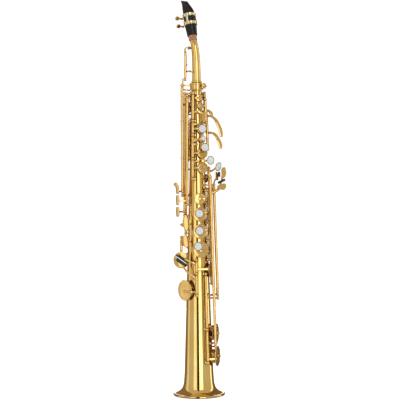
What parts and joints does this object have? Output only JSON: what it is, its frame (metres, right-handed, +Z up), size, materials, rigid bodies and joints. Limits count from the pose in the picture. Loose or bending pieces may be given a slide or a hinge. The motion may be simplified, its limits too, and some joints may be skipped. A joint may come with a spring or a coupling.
{
  "type": "soprano saxophone",
  "caption": "Straight lacquered brass soprano saxophone with curved neck, black mouthpiece, pearl touches and hinged, sprung keys.",
  "frame": {"origin": "on the body axis, at the plane of the bell rim", "axes": "+Z up the body towards the mouthpiece, -Y the side that the stack keys face, +X the player's left"},
  "size_m": [0.0971, 0.092, 0.7043],
  "materials": {
    "lacquered_brass": "clear gold lacquer over polished brass",
    "ebonite": "satin black hard rubber",
    "cork": "sanded cork",
    "cane": "bare scraped cane",
    "mother_of_pearl": "polished pearl shell",
    "black_resin": "polished black resin",
    "steel": "ground steel"
  },
  "bodies": {
    "body": {"body_tube": "lacquered_brass", "bell": "lacquered_brass", "neck_receiver": "lacquered_brass", "thumb_rest": "black_resin", "thumb_hook": "lacquered_brass", "strap_ring": "lacquered_brass", "upper_stack_rib": "lacquered_brass", "upper_stack_rod": "steel", "lower_stack_rib": "lacquered_brass", "lower_stack_rod": "steel", "low_c_rib": "lacquered_brass", "low_c_rod": "steel", "bell_key_rib": "lacquered_brass", "bell_key_rod": "steel"},
    "f_sharp_vent": {"f_sharp_vent_key": "lacquered_brass"},
    "f_key_set": {"f_key": "lacquered_brass", "f_pearl": "mother_of_pearl"},
    "e_key_set": {"e_key": "lacquered_brass", "e_pearl": "mother_of_pearl"},
    "d_key_set": {"d_key": "lacquered_brass", "d_pearl": "mother_of_pearl"},
    "b_key_set": {"b_key": "lacquered_brass", "b_pearl": "mother_of_pearl"},
    "bis": {"bis_key": "lacquered_brass"},
    "a_key_set": {"a_key": "lacquered_brass", "a_pearl": "mother_of_pearl"},
    "g_key_set": {"g_key": "lacquered_brass", "g_pearl": "mother_of_pearl"},
    "front_f": {"front_f_key": "lacquered_brass"},
    "palm_d": {"palm_d_key": "lacquered_brass"},
    "palm_e_flat": {"palm_e_flat_key": "lacquered_brass"},
    "palm_f": {"palm_f_key": "lacquered_brass"},
    "side_e": {"side_e_key": "lacquered_brass"},
    "side_c": {"side_c_key": "lacquered_brass"},
    "side_b_flat": {"side_b_flat_key": "lacquered_brass"},
    "high_f_sharp": {"high_f_sharp_key": "lacquered_brass"},
    "f_sharp_trill": {"f_sharp_trill_key": "lacquered_brass"},
    "g_sharp": {"g_sharp_key": "lacquered_brass", "g_sharp_pearl": "mother_of_pearl"},
    "e_flat": {"e_flat_key": "lacquered_brass"},
    "low_c": {"low_c_key": "lacquered_brass"},
    "low_c_sharp": {"low_c_sharp_key": "lacquered_brass"},
    "low_b_table": {"low_b_lever": "lacquered_brass"},
    "low_b_flat_table": {"low_b_flat_lever": "lacquered_brass"},
    "low_b": {"low_b_key": "lacquered_brass"},
    "low_b_flat": {"low_b_flat_key": "lacquered_brass"},
    "octave_lever": {"octave_thumb_lever": "lacquered_brass"},
    "neck": {"neck_tube": "lacquered_brass", "neck_cork": "cork"},
    "neck_octave": {"neck_octave_key": "lacquered_brass"},
    "mouthpiece_set": {"mouthpiece": "ebonite", "reed": "cane", "ligature": "lacquered_brass"},
    "ligature_screw_lower": {"ligature_screw_lower": "lacquered_brass"},
    "ligature_screw_upper": {"ligature_screw_upper": "lacquered_brass"},
    "neck_screw": {"neck_screw": "lacquered_brass"},
    "e_flat_roller_body": {"e_flat_roller": "black_resin"},
    "low_c_roller_body": {"low_c_roller": "black_resin"},
    "low_b_roller_body": {"low_b_roller": "black_resin"},
    "low_b_flat_roller_body": {"low_b_flat_roller": "black_resin"}
  },
  "joints": [
    {"name": "f_sharp_vent_turn", "type": "hinge", "parent": "body", "child": "f_sharp_vent", "pos_m": [0.02154, -0.01346, 0.24], "axis": [-0.0278, 0.0174, 0.9995], "range_deg": [-8, 0], "stiffness_Nm_per_rad": 0.04, "springref_deg": 15},
    {"name": "f_key_set_turn", "type": "hinge", "parent": "body", "child": "f_key_set", "pos_m": [0.02154, -0.01346, 0.24], "axis": [-0.0278, 0.0174, 0.9995], "range_deg": [-8, 0], "stiffness_Nm_per_rad": 0.04, "springref_deg": 15},
    {"name": "e_key_set_turn", "type": "hinge", "parent": "body", "child": "e_key_set", "pos_m": [0.02154, -0.01346, 0.24], "axis": [-0.0278, 0.0174, 0.9995], "range_deg": [-8, 0], "stiffness_Nm_per_rad": 0.04, "springref_deg": 15},
    {"name": "d_key_set_turn", "type": "hinge", "parent": "body", "child": "d_key_set", "pos_m": [0.02154, -0.01346, 0.24], "axis": [-0.0278, 0.0174, 0.9995], "range_deg": [-8, 0], "stiffness_Nm_per_rad": 0.04, "springref_deg": 15},
    {"name": "b_key_set_turn", "type": "hinge", "parent": "body", "child": "b_key_set", "pos_m": [-0.00798, -0.01975, 0.383], "axis": [0.0109, 0.027, 0.9996], "range_deg": [0, 8], "stiffness_Nm_per_rad": 0.04, "springref_deg": -15},
    {"name": "bis_turn", "type": "hinge", "parent": "body", "child": "bis", "pos_m": [-0.00798, -0.01975, 0.383], "axis": [0.0109, 0.027, 0.9996], "range_deg": [0, 8], "stiffness_Nm_per_rad": 0.04, "springref_deg": -15},
    {"name": "a_key_set_turn", "type": "hinge", "parent": "body", "child": "a_key_set", "pos_m": [-0.00798, -0.01975, 0.383], "axis": [0.0109, 0.027, 0.9996], "range_deg": [0, 8], "stiffness_Nm_per_rad": 0.04, "springref_deg": -15},
    {"name": "g_key_set_turn", "type": "hinge", "parent": "body", "child": "g_key_set", "pos_m": [-0.00798, -0.01975, 0.383], "axis": [0.0109, 0.027, 0.9996], "range_deg": [0, 8], "stiffness_Nm_per_rad": 0.04, "springref_deg": -15},
    {"name": "front_f_turn", "type": "hinge", "parent": "body", "child": "front_f", "pos_m": [-0.00798, -0.01975, 0.383], "axis": [0.0109, 0.027, 0.9996], "range_deg": [-8, 0], "stiffness_Nm_per_rad": 0.04, "springref_deg": 15},
    {"name": "palm_d_turn", "type": "hinge", "parent": "body", "child": "palm_d", "pos_m": [0.01626, -0.00724, 0.482], "axis": [-0.0261, 0.0116, 0.9996], "range_deg": [0, 8], "stiffness_Nm_per_rad": 0.04, "springref_deg": -15},
    {"name": "palm_e_flat_turn", "type": "hinge", "parent": "body", "child": "palm_e_flat", "pos_m": [0.0192, 0, 0.436], "axis": [-0.0303, 0, 0.9995], "range_deg": [-8, 0], "stiffness_Nm_per_rad": 0.04, "springref_deg": 15},
    {"name": "palm_f_turn", "type": "hinge", "parent": "body", "child": "palm_f", "pos_m": [0.01493, 0.00933, 0.486], "axis": [-0.0203, -0.0127, 0.9997], "range_deg": [0, 8], "stiffness_Nm_per_rad": 0.04, "springref_deg": -15},
    {"name": "side_e_turn", "type": "hinge", "parent": "body", "child": "side_e", "pos_m": [-0.02641, -0.00561, 0.352], "axis": [0.003, 0.0006, 1], "range_deg": [0, 8], "stiffness_Nm_per_rad": 0.04, "springref_deg": -15},
    {"name": "side_c_turn", "type": "hinge", "parent": "body", "child": "side_c", "pos_m": [-0.01866, -0.01166, 0.336], "axis": [0.0109, 0.0068, 0.9999], "range_deg": [0, 8], "stiffness_Nm_per_rad": 0.04, "springref_deg": -15},
    {"name": "side_b_flat_turn", "type": "hinge", "parent": "body", "child": "side_b_flat", "pos_m": [-0.0233, 0.00757, 0.316], "axis": [0.0261, -0.0085, 0.9996], "range_deg": [0, 8], "stiffness_Nm_per_rad": 0.04, "springref_deg": -15},
    {"name": "high_f_sharp_turn", "type": "hinge", "parent": "body", "child": "high_f_sharp", "pos_m": [-0.02156, 0.01454, 0.286], "axis": [0.0033, -0.0022, 1], "range_deg": [0, 6], "stiffness_Nm_per_rad": 0.04, "springref_deg": -15},
    {"name": "f_sharp_trill_turn", "type": "hinge", "parent": "body", "child": "f_sharp_trill", "pos_m": [-0.02984, -0.00314, 0.25], "axis": [0.027, 0.0028, 0.9996], "range_deg": [0, 8], "stiffness_Nm_per_rad": 0.04, "springref_deg": -15},
    {"name": "g_sharp_turn", "type": "hinge", "parent": "body", "child": "g_sharp", "pos_m": [0.02159, -0.00075, 0.366], "axis": [-0.0278, 0.001, 0.9996], "range_deg": [-8, 0], "stiffness_Nm_per_rad": 0.04, "springref_deg": 15},
    {"name": "e_flat_turn", "type": "hinge", "parent": "body", "child": "e_flat", "pos_m": [-0.00278, -0.02645, 0.178], "axis": [0.0034, 0.0321, 0.9995], "range_deg": [-8, 0], "stiffness_Nm_per_rad": 0.04, "springref_deg": 15},
    {"name": "low_c_turn", "type": "hinge", "parent": "body", "child": "low_c", "pos_m": [-0.00278, -0.02645, 0.178], "axis": [0.0034, 0.0321, 0.9995], "range_deg": [-9, 0], "stiffness_Nm_per_rad": 0.04, "springref_deg": 15},
    {"name": "low_c_sharp_turn", "type": "hinge", "parent": "body", "child": "low_c_sharp", "pos_m": [0.02428, 0.01291, 0.196], "axis": [-0.0315, -0.0168, 0.9994], "range_deg": [-8, 0], "stiffness_Nm_per_rad": 0.04, "springref_deg": 15},
    {"name": "low_b_table_turn", "type": "hinge", "parent": "body", "child": "low_b_table", "pos_m": [0.03462, -0.01125, 0.172], "axis": [-0.0276, 0.009, 0.9996], "range_deg": [0, 6], "stiffness_Nm_per_rad": 0.04, "springref_deg": -15},
    {"name": "low_b_flat_table_turn", "type": "hinge", "parent": "body", "child": "low_b_flat_table", "pos_m": [0.02957, -0.02481, 0.088], "axis": [-0.0226, 0.019, 0.9996], "range_deg": [0, 6], "stiffness_Nm_per_rad": 0.04, "springref_deg": -15},
    {"name": "low_b_turn", "type": "hinge", "parent": "body", "child": "low_b", "pos_m": [0.01597, -0.02657, 0.06], "axis": [-0.0179, 0.0298, 0.9994], "range_deg": [0, 9], "stiffness_Nm_per_rad": 0.04, "springref_deg": -15},
    {"name": "low_b_flat_turn", "type": "hinge", "parent": "body", "child": "low_b_flat", "pos_m": [0.01597, -0.02657, 0.06], "axis": [-0.0179, 0.0298, 0.9994], "range_deg": [0, 9], "stiffness_Nm_per_rad": 0.04, "springref_deg": -15},
    {"name": "octave_lever_turn", "type": "hinge", "parent": "body", "child": "octave_lever", "pos_m": [0.00259, 0.01842, 0.466], "axis": [-0.0043, -0.0309, 0.9995], "range_deg": [0, 4], "stiffness_Nm_per_rad": 0.04, "springref_deg": -15},
    {"name": "neck_turn", "type": "hinge", "parent": "body", "child": "neck", "pos_m": [0, 0, 0.55], "axis": [0, 0, 1], "range_deg": [-12, 12]},
    {"name": "neck_octave_turn", "type": "hinge", "parent": "neck", "child": "neck_octave", "pos_m": [-0.0136, 0, 0.574], "axis": [0, 1, 0], "range_deg": [-2.8, 0]},
    {"name": "mouthpiece_tuning", "type": "slide", "parent": "neck", "child": "mouthpiece_set", "axis": [-0.1456, 0.1932, 0.9703], "range_m": [0, 0.008]},
    {"name": "ligature_screw_lower_turn", "type": "hinge", "parent": "mouthpiece_set", "child": "ligature_screw_lower", "pos_m": [-0.01842, 0.02445, 0.65673], "axis": [0.7986, 0.6018, 0], "continuous": true},
    {"name": "ligature_screw_upper_turn", "type": "hinge", "parent": "mouthpiece_set", "child": "ligature_screw_upper", "pos_m": [-0.02061, 0.02735, 0.67128], "axis": [0.7986, 0.6018, 0], "continuous": true},
    {"name": "neck_screw_turn", "type": "hinge", "parent": "body", "child": "neck_screw", "pos_m": [0.01556, -0.00274, 0.548], "axis": [0.1736, 0.9848, 0], "continuous": true},
    {"name": "e_flat_roller_body_spin", "type": "hinge", "parent": "e_flat", "child": "e_flat_roller_body", "pos_m": [-0.02804, -0.01864, 0.24249], "axis": [0.7514, -0.3504, -0.5592], "continuous": true},
    {"name": "low_c_roller_body_spin", "type": "hinge", "parent": "low_c", "child": "low_c_roller_body", "pos_m": [-0.03108, -0.01722, 0.23751], "axis": [-0.7514, 0.3504, 0.5592], "continuous": true},
    {"name": "low_b_roller_body_spin", "type": "hinge", "parent": "low_b_table", "child": "low_b_roller_body", "pos_m": [0.0386, -0.0114, 0.3905], "axis": [0, 0, 1], "continuous": true},
    {"name": "low_b_flat_roller_body_spin", "type": "hinge", "parent": "low_b_flat_table", "child": "low_b_flat_roller_body", "pos_m": [0.0427, -0.0184, 0.3782], "axis": [0.716, 0.603, 0.3517], "continuous": true}
  ],
  "couplings": [
    {"joint": "f_sharp_vent_turn", "follows": "f_key_set_turn", "ratio": 1},
    {"joint": "bis_turn", "follows": "a_key_set_turn", "ratio": 1},
    {"joint": "neck_octave_turn", "follows": "octave_lever_turn", "ratio": -0.7},
    {"joint": "low_b_turn", "follows": "low_b_table_turn", "ratio": 1.5},
    {"joint": "low_b_flat_turn", "follows": "low_b_flat_table_turn", "ratio": 1.5}
  ]
}
